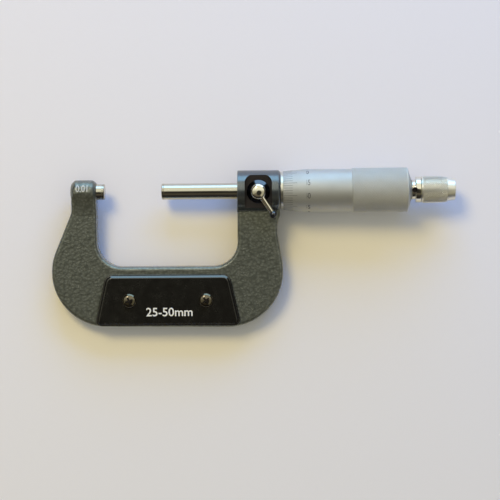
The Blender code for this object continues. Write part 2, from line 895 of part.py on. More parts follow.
clear_scene()
parts = new_collection("outside_micrometer")
helpers = new_collection("cutters")
looks = {
    "hammered paint": material("hammered_paint", (0.085, 0.090, 0.070), 0.45, 0.3),
    "ground steel": material("ground_steel", (0.60, 0.60, 0.58), 0.18, 1),
    "carbide": material("carbide", (0.28, 0.28, 0.29), 0.35, 1),
    "satin chrome": material("satin_chrome", (0.62, 0.63, 0.62), 0.35, 1),
    "polished chrome": material("polished_chrome", (0.75, 0.74, 0.70), 0.08, 1),
    "dark steel": material("dark_steel", (0.20, 0.20, 0.20), 0.4, 1),
    "spring steel": material("spring_steel", (0.30, 0.30, 0.32), 0.3, 1),
    "brass": material("brass", (0.62, 0.45, 0.18), 0.3, 1),
    "black enamel": material("black_enamel", (0.010, 0.010, 0.010), 0.22, 0),
}
make_frame()
make_anvil()
make_spindle()
make_sleeves()
make_thimble()
make_ratchet()
make_lock()
make_plate()
make_plate_screws()
finish_shading()
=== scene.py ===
# Outside micrometer, 25 to 50 mm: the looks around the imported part.
# X runs along the spindle from the anvil to the ratchet, Y out of the frame's mouth, Z out of its front.

import math

import bmesh
import bpy
from mathutils import Matrix, Vector


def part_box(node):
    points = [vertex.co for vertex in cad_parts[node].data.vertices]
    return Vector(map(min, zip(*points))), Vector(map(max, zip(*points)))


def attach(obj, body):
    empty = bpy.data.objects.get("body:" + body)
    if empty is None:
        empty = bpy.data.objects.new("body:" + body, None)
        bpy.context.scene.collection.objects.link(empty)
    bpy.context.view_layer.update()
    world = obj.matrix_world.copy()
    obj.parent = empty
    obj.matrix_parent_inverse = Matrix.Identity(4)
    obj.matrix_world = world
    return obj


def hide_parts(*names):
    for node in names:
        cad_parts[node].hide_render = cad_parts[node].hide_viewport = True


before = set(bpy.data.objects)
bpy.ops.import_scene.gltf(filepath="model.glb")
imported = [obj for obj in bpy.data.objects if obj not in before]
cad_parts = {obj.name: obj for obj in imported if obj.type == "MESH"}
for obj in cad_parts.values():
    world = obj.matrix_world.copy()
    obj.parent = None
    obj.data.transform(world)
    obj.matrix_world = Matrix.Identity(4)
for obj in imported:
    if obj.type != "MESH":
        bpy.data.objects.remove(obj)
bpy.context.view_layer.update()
mm = 0.001
scene = bpy.context.scene
print("packed part loaded:", len(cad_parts), "nodes")


def hexColour(code):
    channels = [int(code[i:i + 2], 16) / 255 for i in (0, 2, 4)]
    return tuple(c / 12.92 if c <= 0.04045 else ((c + 0.055) / 1.055) ** 2.4 for c in channels) + (1,)


def addNode(tree, kind, inputs=None, **settings):
    # An input is a value, a socket, or a node, which stands for its first output.
    node = tree.nodes.new(kind)
    for name, value in settings.items():
        setattr(node, name, value)
    for key, value in (inputs or {}).items():
        if isinstance(value, bpy.types.Node):
            value = value.outputs[0]
        if isinstance(value, bpy.types.NodeSocket):
            tree.links.new(value, node.inputs[key])
        else:
            node.inputs[key].default_value = value
    return node


def calculator(tree):
    def calc(operation, *values):
        return addNode(tree, "ShaderNodeMath", dict(enumerate(values)), operation=operation)
    return calc


def lengths(**sizes):
    return {name: size * mm for name, size in sizes.items()}


def vectorMath(tree, operation, inputs):
    return addNode(tree, "ShaderNodeVectorMath", inputs, operation=operation)


def mix(tree, share, first, second):
    return addNode(tree, "ShaderNodeMix", {0: share, 6: first, 7: second}, data_type="RGBA").outputs[2]


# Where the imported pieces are, along the measuring line

sleeveLow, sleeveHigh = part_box("scale_sleeve")
thimbleLow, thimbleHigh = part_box("thimble")
stemLow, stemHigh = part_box("ratchet_stem")
knobLow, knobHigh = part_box("ratchet_knob")
plateLow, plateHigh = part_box("front_plate")

line = {
    "armInner": -3.15 * mm,  # frame's inner edge on the anvil's side
    "hubStart": 53.25 * mm,
    "hubEnd": sleeveLow.x - 0.1 * mm,
    "lock": 61.6 * mm,
    "thimbleStart": thimbleLow.x,
    "thimbleEnd": thimbleHigh.x,
    "gapAtRest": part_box("spindle_tip")[0].x,
    "spindleEnd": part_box("spindle")[1].x,
}


# Materials

def startMaterial(name):
    material = bpy.data.materials.new(name)
    material.use_nodes = True
    tree = material.node_tree
    tree.nodes.clear()
    return material, tree, addNode(tree, "ShaderNodeTexCoord").outputs["Object"]


def endMaterial(material, tree, colour, **inputs):
    named = {name.replace("_", " "): value for name, value in inputs.items()}
    named["Base Color"] = hexColour(colour) if isinstance(colour, str) else colour
    shader = addNode(tree, "ShaderNodeBsdfPrincipled", named)
    addNode(tree, "ShaderNodeOutputMaterial", {"Surface": shader})
    return material


def noise(tree, where, size, detail):
    return addNode(tree, "ShaderNodeTexNoise", {"Vector": where, "Scale": 1 / size, "Detail": detail})


def relief(tree, height, depth, strength=0.5):
    return addNode(tree, "ShaderNodeBump", {"Height": height, "Distance": depth, "Strength": strength})


def smears(tree, spots, share, low, high):
    # Spots of noise move the roughness between low and high. Share is the part of the noise that counts.
    return addNode(tree, "ShaderNodeMapRange", {
        "Value": spots, "From Min": share[0], "From Max": share[1], "To Min": low, "To Max": high,
    })


def hammeredPaint():
    # Hammered enamel, metal flakes in grey varnish on a rough casting: shallow dimples under a thin gloss,
    # their darker rims painted shade for the flakes' sheen; dark from above and lighter where an edge turns
    # to the light.
    look = {"dimple": 1.1 * mm, "warp": 0.6 * mm, "depth": 0.09 * mm, "grain": 0.3 * mm, "mottle": 2.5 * mm}
    material, tree, where = startMaterial("hammeredPaint")
    warp = noise(tree, where, 2 * look["dimple"], 2).outputs["Color"]
    shift = vectorMath(tree, "SUBTRACT", {0: warp, 1: (0.5, 0.5, 0.5)})
    moved = vectorMath(tree, "MULTIPLY_ADD", {0: shift, 1: (2 * look["warp"],) * 3, 2: where})
    dimples = addNode(tree, "ShaderNodeTexVoronoi", {
        "Vector": moved, "Scale": 1 / look["dimple"], "Smoothness": 0.35,
    }, feature="SMOOTH_F1")
    # Painted shade: the dimples' rims get the darker of the two paint colours.
    rimShade = addNode(tree, "ShaderNodeMapRange", {"Value": dimples, "From Min": 0.1, "From Max": 0.75})
    paint = mix(tree, rimShade, hexColour("91958e"), hexColour("5a5e58"))
    mottled = mix(tree, noise(tree, where, look["mottle"], 4), paint, hexColour("777b73"))
    height = calculator(tree)("MULTIPLY_ADD", noise(tree, where, look["grain"], 3), 0.3, dimples)
    return endMaterial(
        material, tree, mottled, Metallic=0.8, Roughness=0.38, Coat_Weight=0.6, Coat_Roughness=0.16,
        Normal=relief(tree, height, look["depth"], 1.0),
    )


def turnedMetal(name, colour, roughness, lines, depth, metallic=1.0):
    # A metal turned or ground on a lathe: fine rings round the spindle's axis, closer than the eye can part.
    material, tree, where = startMaterial(name)
    around = 1 / (12 * mm)  # a ring changes little on its way round
    low, high = roughness - 0.04, roughness + 0.04
    rings = vectorMath(tree, "MULTIPLY", {0: where, 1: (1 / (lines * mm), around, around)})
    return endMaterial(
        material, tree, colour, Metallic=metallic,
        Roughness=smears(tree, noise(tree, where, 6 * mm, 3), (0.3, 0.7), low, high),
        Normal=relief(tree, noise(tree, rings, 1, 3), depth * mm),
    )


def satinChrome(name, colour, roughness):
    # Blasted steel under satin chrome: a fine even grain that spreads every reflection. The knurled grip's is
    # rougher still, so that it looks flat beside the barrel.
    material, tree, where = startMaterial(name)
    return endMaterial(
        material, tree, colour, Metallic=0.85,
        Roughness=smears(tree, noise(tree, where, 5 * mm, 3), (0.3, 0.7), roughness, roughness + 0.1),
        Normal=relief(tree, noise(tree, where, 0.12 * mm, 2), 0.004 * mm),
    )


def brightChrome():
    # Buffed chrome plate: a clear mirror with a faint waviness and a few soft smears.
    material, tree, where = startMaterial("brightChrome")
    return endMaterial(
        material, tree, "ece9de", Metallic=1.0,
        Roughness=smears(tree, noise(tree, where, 2 * mm, 4), (0.35, 0.75), 0.05, 0.16),
        Normal=relief(tree, noise(tree, where, 1.5 * mm, 1), 0.01 * mm, 0.6),
    )


def blackEnamel():
    # Stoved black enamel on a pressed plate: smooth and glossy, with a slight orange peel.
    material, tree, where = startMaterial("blackEnamel")
    return endMaterial(
        material, tree, "12110e", Coat_Weight=1.0, Coat_Roughness=0.12, Coat_IOR=1.7,
        Roughness=smears(tree, noise(tree, where, 3 * mm, 5), (0.35, 0.7), 0.16, 0.3),
        Normal=relief(tree, noise(tree, where, 0.8 * mm, 2), 0.01 * mm),
    )


def filledPaint(name, colour):
    # Paint wiped into engraved lines and letters: flat and slightly uneven.
    material, tree, where = startMaterial(name)
    grain = relief(tree, noise(tree, where, 0.2 * mm, 2), 0.01 * mm)
    return endMaterial(material, tree, colour, Roughness=0.55, Normal=grain)


def paleTable():
    # A plain pale table with a soft satin top.
    material, tree = startMaterial("paleTable")[:2]
    return endMaterial(material, tree, "e6e4e4", Roughness=0.55, Specular_IOR_Level=0.3)


# Turned metals: colour, roughness, the rings' width and depth in mm, metallic
turned = {
    # Turned and browned hub: dark steel with a clear, bluish glint along its top.
    "greySteel": ("6e7478", 0.23, 0.11, 0.012, 0.85),
    # Painted shade: nearly black steel on the faces of the recesses, the hub's milled pocket, the stem's
    # spanner hole and the screws' crosses, for the shade that falls in them; a dull sheen on the pocket's
    # floor.
    "recessShadeSteel": ("4e4a4c", 0.38, 0.3, 0.02),
    # Pressed screws in a darker steel than the chrome: small and dark, with a warm glint.
    "darkScrewSteel": ("726c60", 0.14, 0.5, 0.004),
    # Rolled knurl under chrome plate: bright points and grey grooves.
    "knurledChrome": ("ebe9e0", 0.33, 0.2, 0.002, 0.85),
    # Burnished steel for the lever's base: a dark mirror with a blue cast. On the ball at the arm's end it is
    # painted shade, for the dark surroundings the ball mirrors.
    "darkLeverSteel": ("5a5d66", 0.12, 0.5, 0.002),
    # Hardened steel ground between centres: long clear reflections with hardly a grinding mark.
    "groundSteel": ("cfccc2", 0.14, 0.08, 0.002),
    # Sintered carbide, lapped flat: a little darker and warmer than the steel behind it.
    "lappedCarbide": ("bdb9b0", 0.17, 0.2, 0.002),
    # Fine turned steel under chrome plate: the scale sleeve's brighter ring.
    "sleeveChrome": ("deddd6", 0.3, 0.1, 0.003),
    # Turned steel left bare under a film of oil: an even grey for what is hidden inside.
    "oiledSteel": ("8c8a86", 0.3, 0.15, 0.006),
    # Drawn spring wire: grey, with a smooth gleam.
    "springWire": ("96969a", 0.25, 0.1, 0.002),
    # Brass turned from bar: soft yellow with fine rings.
    "turnedBrass": ("d2ab5e", 0.28, 0.12, 0.005),
}
# The thimble's lines and figures take a paler grey fill than the sleeve's.
fills = {"blackFill": "37373b", "paleGreyFill": "525256", "whiteFill": "e4e4de", "dulledFill": "bcbeb6"}
finish = {
    **{name: turnedMetal(name, *look) for name, look in turned.items()},
    **{name: filledPaint(name, colour) for name, colour in fills.items()},
    "hammeredPaint": hammeredPaint(),
    "satinChrome": satinChrome("satinChrome", "cacbca", 0.54),
    "gripChrome": satinChrome("gripChrome", "d8d8d6", 0.62),
    "brightChrome": brightChrome(),
    "blackEnamel": blackEnamel(),
    "table": paleTable(),
}
print("materials made:", len(finish))


# Ways of making

def evaluatedMesh(piece):
    bpy.context.view_layer.update()
    graph = bpy.context.evaluated_depsgraph_get()
    return bpy.data.meshes.new_from_object(piece.evaluated_get(graph))


def bake(piece):
    mesh = evaluatedMesh(piece)
    piece.modifiers.clear()
    piece.data = mesh
    return piece


def addItem(name, data):
    item = bpy.data.objects.new(name, data)
    scene.collection.objects.link(item)
    return item


def pieceFrom(name, shape, material):
    mesh = bpy.data.meshes.new(name)
    bmesh.ops.recalc_face_normals(shape, faces=shape.faces)
    shape.to_mesh(mesh)
    shape.free()
    mesh.materials.append(finish[material])
    return addItem(name, mesh)


def smoothPiece(piece, angle=35, weighted=True):
    piece.data.shade_smooth()
    piece.data.set_sharp_from_angle(angle=math.radians(angle))
    if weighted:
        piece.modifiers.new("faces", "WEIGHTED_NORMAL").keep_sharp = True
        bake(piece)
    return piece


def combine(piece, other, operation):
    modifier = piece.modifiers.new("join", "BOOLEAN")
    modifier.operation = operation
    modifier.object = other
    modifier.material_mode = "TRANSFER"
    bake(piece)
    bpy.data.objects.remove(other, do_unlink=True)
    return piece


def soften(profile, radius, steps=3, closed=False):
    # Rounds the corners of a profile. Points on the axis stay.
    done = []
    count = len(profile)
    for number, here in enumerate(profile):
        here = Vector(here)
        ends = not closed and number in (0, count - 1)
        before = Vector(profile[number - 1]) - here
        after = Vector(profile[(number + 1) % count]) - here
        if ends or here.y == 0 or before.angle(after) > math.radians(172):
            done.append(here)
            continue
        reach = min(radius, 0.4 * before.length, 0.4 * after.length)
        start, end = here + before.normalized() * reach, here + after.normalized() * reach
        for step in range(steps + 1):
            t = step / steps
            done.append(start * (1 - t) ** 2 + here * 2 * t * (1 - t) + end * t ** 2)
    return done


def turn(name, profile, material, segments=96, axis="X", closed=False):
    # Turns (along, radius) points about the measuring line, or about the lock's axis with axis Z.
    shape = bmesh.new()
    rings = []
    for along, radius in profile:
        count = segments if radius > 1e-7 else 1
        ring = []
        for number in range(count):
            angle = 2 * math.pi * number / segments
            across, up = radius * math.sin(angle), radius * math.cos(angle)
            ring.append(shape.verts.new((along, across, up) if axis == "X" else (across, up, along)))
        rings.append(ring)
    pairs = list(zip(rings, rings[1:]))
    if closed:
        pairs.append((rings[-1], rings[0]))
    for low, high in pairs:
        for number in range(segments):
            corners = [
                low[number % len(low)],
                low[(number + 1) % len(low)],
                high[(number + 1) % len(high)],
                high[number % len(high)],
            ]
            unique = list(dict.fromkeys(corners))
            if len(unique) > 2:
                shape.faces.new(unique)
    return pieceFrom(name, shape, material)


def rod(name, low, high, radius, material, segments=96, axis="X"):
    return turn(name, [(low, 0), (low, radius), (high, radius), (high, 0)], material, segments, axis)


def domeProfile(base, height, radius, steps):
    angles = [math.pi / 2 * number / steps for number in range(steps)]
    return [(base + height * math.sin(angle), radius * math.cos(angle)) for angle in angles]


def repaint(piece, material, chosen):
    # Gives the faces that are chosen by their middle a second material.
    piece.data.materials.append(finish[material])
    for face in piece.data.polygons:
        if chosen(face.center):
            face.material_index = 1


def rectangle(left, bottom, right, top):
    return [Vector(corner) * mm for corner in ((left, bottom), (right, bottom), (right, top), (left, top))]


def roundedOutline(corners, step=math.radians(4)):
    # Outline points from (x, y, radius) corners in mm.
    outline = []
    count = len(corners)
    for number, (x, y, radius) in enumerate(corners):
        here = Vector((x, y))
        before = (Vector(corners[number - 1][:2]) - here).normalized()
        after = (Vector(corners[(number + 1) % count][:2]) - here).normalized()
        bend = math.pi - before.angle(after)
        if radius == 0:
            outline.append(here * mm)
            continue
        reach = radius * math.tan(bend / 2)
        middle = here + (before + after).normalized() * radius / math.cos(bend / 2)
        first, last = here + before * reach - middle, here + after * reach - middle
        sweep = -first.angle_signed(last)
        steps = max(2, round(abs(sweep) / step))
        for part in range(steps + 1):
            spoke = first.copy()
            spoke.rotate(Matrix.Rotation(sweep * part / steps, 2))
            outline.append((middle + spoke) * mm)
    return outline


def insetOutline(outline, distance):
    moved = []
    count = len(outline)
    for number, here in enumerate(outline):
        before = (here - outline[number - 1]).normalized()
        after = (outline[(number + 1) % count] - here).normalized()
        inward = Vector((-before.y - after.y, before.x + after.x))
        length = inward.length
        scale = 2 / (length * length) if length > 0.2 else 1
        moved.append(here + inward * distance * scale)
    return moved


def slab(name, outline, levels, material):
    # A flat solid from (height, inset) levels of one outline, lowest first.
    shape = bmesh.new()
    rings = []
    for height, inset in levels:
        ring = insetOutline(outline, inset) if inset else outline
        rings.append([shape.verts.new((*point, height)) for point in ring])
    count = len(outline)
    for low, high in zip(rings, rings[1:]):
        for number in range(count):
            after = (number + 1) % count
            shape.faces.new((low[number], low[after], high[after], high[number]))
    shape.faces.new(reversed(rings[0]))
    shape.faces.new(rings[-1])
    return pieceFrom(name, shape, material)


def roundedLevels(low, high, radius, steps=5):
    levels = []
    for step in range(steps + 1):
        angle = math.pi / 2 * step / steps
        levels.append((low + radius * (1 - math.cos(angle)), radius * (1 - math.sin(angle))))
    return levels + [(low + high - height, inset) for height, inset in reversed(levels)]


def flatText(words, capHeight, thickness, widthShare=1.0, swell=0.0):
    # Letters in the XY plane, centred on their middle, sliced so that they can be bent.
    data = bpy.data.curves.new(words, "FONT")
    data.body = words
    data.align_x, data.align_y = "CENTER", "CENTER"
    data.size = capHeight / 0.73  # the built-in face's capitals are this share of its size
    data.extrude = thickness / 2
    data.offset = swell  # thickens the strokes
    data.resolution_u = 4
    holder = addItem(words, data)
    mesh = evaluatedMesh(holder)
    bpy.data.objects.remove(holder, do_unlink=True)
    shape = bmesh.new()
    shape.from_mesh(mesh)
    bmesh.ops.remove_doubles(shape, verts=shape.verts, dist=0.001 * mm)
    bmesh.ops.scale(shape, vec=(widthShare, 1, 1), verts=shape.verts)
    low = min(v.co.y for v in shape.verts)
    high = max(v.co.y for v in shape.verts)
    bmesh.ops.translate(shape, vec=(0, -(low + high) / 2, 0), verts=shape.verts)
    cuts = 8
    for number in range(1, cuts):
        height = (high - low) * (number / cuts - 0.5)
        bmesh.ops.bisect_plane(
            shape, geom=shape.verts[:] + shape.edges[:] + shape.faces[:], plane_co=(0, height, 0),
            plane_no=(0, 1, 0), dist=0.0001 * mm,
        )
    return shape


# Geometry Nodes: knurling, scale lines, and the bend that lays them round a barrel

def startTree(name, **inputs):
    tree = bpy.data.node_groups.new(name, "GeometryNodeTree")
    tree.interface.new_socket("Geometry", in_out="INPUT", socket_type="NodeSocketGeometry")
    for label, kind in inputs.items():
        tree.interface.new_socket(label, in_out="INPUT", socket_type="NodeSocket" + kind)
    tree.interface.new_socket("Geometry", in_out="OUTPUT", socket_type="NodeSocketGeometry")
    return tree, addNode(tree, "NodeGroupInput").outputs, calculator(tree)


def endTree(tree, geometry, material):
    real = addNode(tree, "GeometryNodeRealizeInstances", {"Geometry": geometry})
    painted = addNode(tree, "GeometryNodeSetMaterial", {"Geometry": real, "Material": material})
    addNode(tree, "NodeGroupOutput", {0: painted})


def grow(piece, tree, values):
    modifier = piece.modifiers.new("grow", "NODES")
    modifier.node_group = tree
    for item in tree.interface.items_tree:
        if item.in_out == "INPUT" and item.name in values:
            modifier[item.identifier] = values[item.name]
    return bake(piece)


def positionParts(tree):
    return addNode(tree, "ShaderNodeSeparateXYZ", {0: addNode(tree, "GeometryNodeInputPosition")}).outputs


def moveTo(tree, geometry, place, **chosen):
    spot = addNode(tree, "ShaderNodeCombineXYZ", dict(enumerate(place)))
    return addNode(tree, "GeometryNodeSetPosition", {"Geometry": geometry, "Position": spot, **chosen})


def knurlTree():
    # Sinks crossed grooves into the part of a turned surface that lies at the given radius.
    tree, given, calc = startTree(
        "knurl", Start="Float", End="Float", Radius="Float", Depth="Float", Around="Float", Flat="Float",
        Material="Material",
    )
    x, y, z = positionParts(tree)
    turnShare = calc("DIVIDE", calc("ARCTAN2", y, z), 2 * math.pi)
    around = calc("MULTIPLY", turnShare, given["Around"])
    pitch = calc("DIVIDE", calc("MULTIPLY", given["Radius"], 2 * math.pi), given["Around"])
    along = calc("DIVIDE", calc("SUBTRACT", x, given["Start"]), pitch)
    left = calc("PINGPONG", calc("ADD", around, along), 0.5)
    right = calc("PINGPONG", calc("SUBTRACT", around, along), 0.5)
    ridge = calc("MULTIPLY", calc("MINIMUM", left, right), given["Flat"])
    sunk = calc("SUBTRACT", 1, calc("MINIMUM", ridge, 1))
    radius = calc("SQRT", calc("ADD", calc("MULTIPLY", y, y), calc("MULTIPLY", z, z)))
    share = calc("SUBTRACT", 1, calc("DIVIDE", calc("MULTIPLY", sunk, given["Depth"]), radius))
    near = 0.01 * mm
    past = calc("GREATER_THAN", x, calc("SUBTRACT", given["Start"], near))
    inside = calc("MULTIPLY", past, calc("LESS_THAN", x, calc("ADD", given["End"], near)))
    reach = calc("MULTIPLY", given["Depth"], 2.5)  # a slightly tapered grip is knurled to its end
    outside = calc("GREATER_THAN", radius, calc("SUBTRACT", given["Radius"], reach))
    placed = (x, calc("MULTIPLY", y, share), calc("MULTIPLY", z, share))
    moved = moveTo(tree, given["Geometry"], placed, Selection=calc("MULTIPLY", inside, outside))
    endTree(tree, moved, given["Material"])
    return tree


def bendTree():
    # Lays flat work round the measuring line: x stays, y becomes an arc, and z stands off the surface.
    tree, given, calc = startTree(
        "bend", Start="Float", Radius="Float", Slope="Float", Turn="Float", Material="Material",
    )
    x, y, z = positionParts(tree)
    rise = calc("MULTIPLY", calc("SUBTRACT", x, given["Start"]), given["Slope"])
    radius = calc("ADD", calc("ADD", given["Radius"], rise), z)
    angle = calc("ADD", calc("DIVIDE", y, given["Radius"]), given["Turn"])
    placed = (x, *(calc("MULTIPLY", calc(way, angle), radius) for way in ("SINE", "COSINE")))
    moved = moveTo(tree, given["Geometry"], placed)
    endTree(tree, moved, given["Material"])
    return tree


def linesTree():
    # A row of flat scale lines, every so many of them longer.
    tree, given, calc = startTree(
        "scaleLines", Count="Int", First="Vector", Step="Vector", Run="Vector", Short="Float", Long="Float",
        Every="Int", Width="Float", Height="Float", Material="Material",
    )
    row = addNode(tree, "GeometryNodeMeshLine", {
        "Count": given["Count"], "Start Location": given["First"], "Offset": given["Step"],
    })
    number = addNode(tree, "GeometryNodeInputIndex")
    between = calc("MODULO", number, given["Every"])
    isLong = calc("LESS_THAN", between, 0.5)
    extra = calc("MULTIPLY", isLong, calc("SUBTRACT", given["Long"], given["Short"]))
    length = calc("ADD", given["Short"], extra)
    run = vectorMath(tree, "SCALE", {0: given["Run"], "Scale": length})
    half = vectorMath(tree, "SCALE", {0: run, "Scale": 0.5})
    middle = addNode(tree, "GeometryNodeSetPosition", {"Geometry": row, "Offset": half})
    size = vectorMath(tree, "ABSOLUTE", {0: run})
    least = addNode(tree, "ShaderNodeCombineXYZ", {0: given["Width"], 1: given["Width"], 2: given["Height"]})
    whole = vectorMath(tree, "MAXIMUM", {0: size, 1: least})
    bar = addNode(tree, "GeometryNodeMeshCube", {
        "Size": (1, 1, 1), "Vertices X": 2, "Vertices Y": 6, "Vertices Z": 2,
    })
    bars = addNode(tree, "GeometryNodeInstanceOnPoints", {"Points": middle, "Instance": bar, "Scale": whole})
    endTree(tree, bars, given["Material"])
    return tree


trees = {"knurl": knurlTree(), "bend": bendTree(), "lines": linesTree()}


def bentText(name, words, capHeight, at, bend, material, widthShare=1.0, swell=0.0):
    # Several words, each at an (x, arc) place, bent round the barrel as one piece.
    whole = bmesh.new()
    for text, (x, arc) in zip(words, at):
        shape = flatText(text, capHeight, 0.06 * mm, widthShare, swell)
        bmesh.ops.translate(shape, vec=(x, arc, 0), verts=shape.verts)
        mesh = bpy.data.meshes.new(name)
        shape.to_mesh(mesh)
        shape.free()
        whole.from_mesh(mesh)
    piece = pieceFrom(name, whole, material)
    return grow(piece, trees["bend"], {**bend, "Material": finish[material]})


def scaleLines(name, values, bend, material):
    painted = {"Material": finish[material]}
    piece = grow(addItem(name, bpy.data.meshes.new(name)), trees["lines"], {**values, **painted})
    return grow(piece, trees["bend"], {**bend, **painted})


def knurl(piece, size, start, end, radius, material):
    return grow(piece, trees["knurl"], {
        "Start": start, "End": end, "Radius": radius, "Depth": size["knurlDepth"],
        "Around": float(size["knurlAround"]), "Flat": size["knurlFlat"], "Material": finish[material],
    })


def place(piece, body, slot, *replaced):
    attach(piece, body)
    if replaced:
        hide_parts(*replaced)
    return piece


# Frame: painted casting with the anvil's boss and the bare hub

casting = {
    **lengths(
        halfThickness=3.5, edge=1.4, bossRadius=4.85, bossCorner=1.6, hubRadius=8.25, hubChamfer=0.7,
        pocketFloor=5.0, boreRadius=3.375, seatRadius=3.275, seatEnd=-11.2,
    ),
    "armWidth": 10.2, "armTop": 1.6, "throatWidth": 56.25, "throatDepth": 30.0, "throatCorner": 10.0,
    "shoulder": 8.2, "shoulderCorner": 7, "back": 53.7, "backDrop": 1.0, "backCorners": (21.9, 22.5),
    "bulge": 0.1, "waistHeights": (17, 13.2), "hubFoot": 9.6, "hubSetBack": 0.15, "fairingEnd": 11.0,
    "pocketWidth": 10.8, "pocketTop": 6.6, "pocketCorner": 3.1,
    "flare": math.radians(22.9),  # how far the left side leans out
    "lean": math.radians(9.5),  # and the right side
    "waist": 1.25,  # this far short of the hub's end
    "webTop": 4,  # below the measuring line, inside the hub
    "fairingStart": 1.2,  # where the boss starts to run out into the arm, below the measuring line
    "bareEdge": 8.2,  # the paint stops this far below the measuring line
}


def castingOutline(size):
    armInner = line["armInner"] / mm
    armOuter = armInner - size["armWidth"]
    hubSide = armInner + size["throatWidth"]
    hubEnd = line["hubEnd"] / mm - size["hubSetBack"]
    waist = line["hubEnd"] / mm - size["waist"]
    waistLow, waistHigh = size["waistHeights"]
    back = size["back"] + size["backDrop"]
    flare = armOuter - (size["back"] - size["shoulder"]) * math.tan(size["flare"])
    lean = waist + (back - waistLow) * math.tan(size["lean"])
    return roundedOutline([
        (armOuter, size["armTop"], 0),
        (armOuter, -size["shoulder"], size["shoulderCorner"]),
        (flare + size["bulge"], -size["back"], size["backCorners"][0]),
        (lean, -back, size["backCorners"][1]),
        (waist, -waistLow, 4),
        (waist, -waistHigh, 1),
        (hubEnd, -size["hubFoot"], 0),
        (hubEnd, -size["webTop"], 0),
        (hubSide, -size["webTop"], 0),
        (hubSide, -size["throatDepth"], size["throatCorner"]),
        (armInner, -size["throatDepth"], size["throatCorner"]),
        (armInner, size["armTop"], 0),
    ])


def makeFairing(size, start, end):
    # The boss runs out into the arm in a smooth curve on both faces.
    radius, first, last = size["bossRadius"] / mm, size["fairingStart"], size["fairingEnd"]
    top = math.sqrt(radius ** 2 - first ** 2)
    bottom = size["halfThickness"] / mm - 0.03  # it ends just under the arm's faces
    slope = -first / top
    curve = []
    steps = 14
    for step in range(steps + 1):
        t = step / steps
        height = (
            top * (2 * t ** 3 - 3 * t ** 2 + 1) + slope * (last - first) * (t ** 3 - 2 * t ** 2 + t)
            + bottom * (3 * t ** 2 - 2 * t ** 3)
        )
        curve.append((first + (last - first) * t, height))
    outline = [Vector((height, down)) * mm for down, height in curve]
    outline += [Vector((-height, down)) * mm for down, height in reversed(curve)]
    levels = roundedLevels(start + 0.1 * mm, end - 0.1 * mm, size["edge"])
    body = slab("fairing", outline, levels, "hammeredPaint")
    # The slab's height becomes X and its outline lies across the arm.
    body.data.transform(Matrix(((0, 0, 1, 0), (0, -1, 0, 0), (1, 0, 0, 0), (0, 0, 0, 1))))
    return body


def makeCasting(size):
    paint, steel = "hammeredPaint", "greySteel"
    half, corner, chamfer = size["halfThickness"], size["bossCorner"], size["hubChamfer"]
    web = slab("frameCasting", castingOutline(size), roundedLevels(-half, half, size["edge"]), paint)
    start, end, radius = line["armInner"] - 0.15 * mm - size["armWidth"] * mm, -3 * mm, size["bossRadius"]
    boss = turn("boss", soften([
        (start, 0), (start, radius - corner), (start + corner, radius),
        (end - corner, radius), (end, radius - corner), (end, 0),
    ], 0.9 * mm, 5), paint)
    start, end, radius = line["hubStart"], line["hubEnd"], size["hubRadius"]
    hub = turn("hub", soften([
        (start, 0), (start, radius), (end - chamfer, radius), (end, radius - chamfer), (end, 0),
    ], 0.25 * mm, 3), steel, 160)
    left, right = line["lock"] / mm - size["pocketWidth"] / 2, line["lock"] / mm + size["pocketWidth"] / 2
    top, corner = size["pocketTop"], size["pocketCorner"]
    outline = roundedOutline([(left, -20, 0), (right, -20, 0), (right, top, corner), (left, top, corner)])
    # Painted shade: the pocket's faces take the nearly black steel.
    pocket = slab("pocket", outline, [(size["pocketFloor"], 0), (20 * mm, 0)], "recessShadeSteel")
    combine(hub, pocket, "DIFFERENCE")
    foot = rectangle(start / mm - 0.2, -size["bareEdge"], end / mm - 1.2, -size["webTop"])
    levels = roundedLevels(-half - 0.04 * mm, half + 0.04 * mm, 0.2 * mm)
    combine(hub, slab("shoulder", foot, levels, steel), "UNION")
    combine(web, hub, "UNION")
    fairing = makeFairing(size, line["armInner"] - size["armWidth"] * mm, line["armInner"])
    combine(boss, fairing, "UNION")
    combine(web, boss, "UNION")
    bore = rod("hubBore", 40 * mm, 80 * mm, size["boreRadius"], "oiledSteel")
    combine(web, bore, "DIFFERENCE")
    seat = rod("anvilBore", size["seatEnd"], 4 * mm, size["seatRadius"], "oiledSteel")
    combine(web, seat, "DIFFERENCE")
    return smoothPiece(web, 32)


place(makeCasting(casting), "frame_body", "hammered_paint", "frame")
mark = {"height": 3.0 * mm, "x": -8.5 * mm, "turn": math.radians(20), "narrow": 0.76, "swell": 0.05 * mm}
bossMark = bentText("bossMark", ["0.01"], mark["height"], [(mark["x"], 0)], {
    "Start": 0.0, "Radius": casting["bossRadius"] + 0.01 * mm, "Slope": 0.0, "Turn": mark["turn"],
}, "dulledFill", mark["narrow"], mark["swell"])
place(bossMark, "frame_body", "hammered_paint")
print("frame casting done")


# Anvil, spindle and their carbide faces

measuring = {
    **lengths(
        radius=3.175, chamfer=0.2, tip=0.9, groundEnd=63, groove=2.45, grooveStart=63.6, grooveEnd=64.1,
        thread=3.05, threadStart=64.7, threadEnd=110.0, taperStart=2.9, taperEnd=2.4, hole=1.5, holeDepth=8,
    ),
    "joint": 0.01 * mm,  # between a carbide face and its steel
}


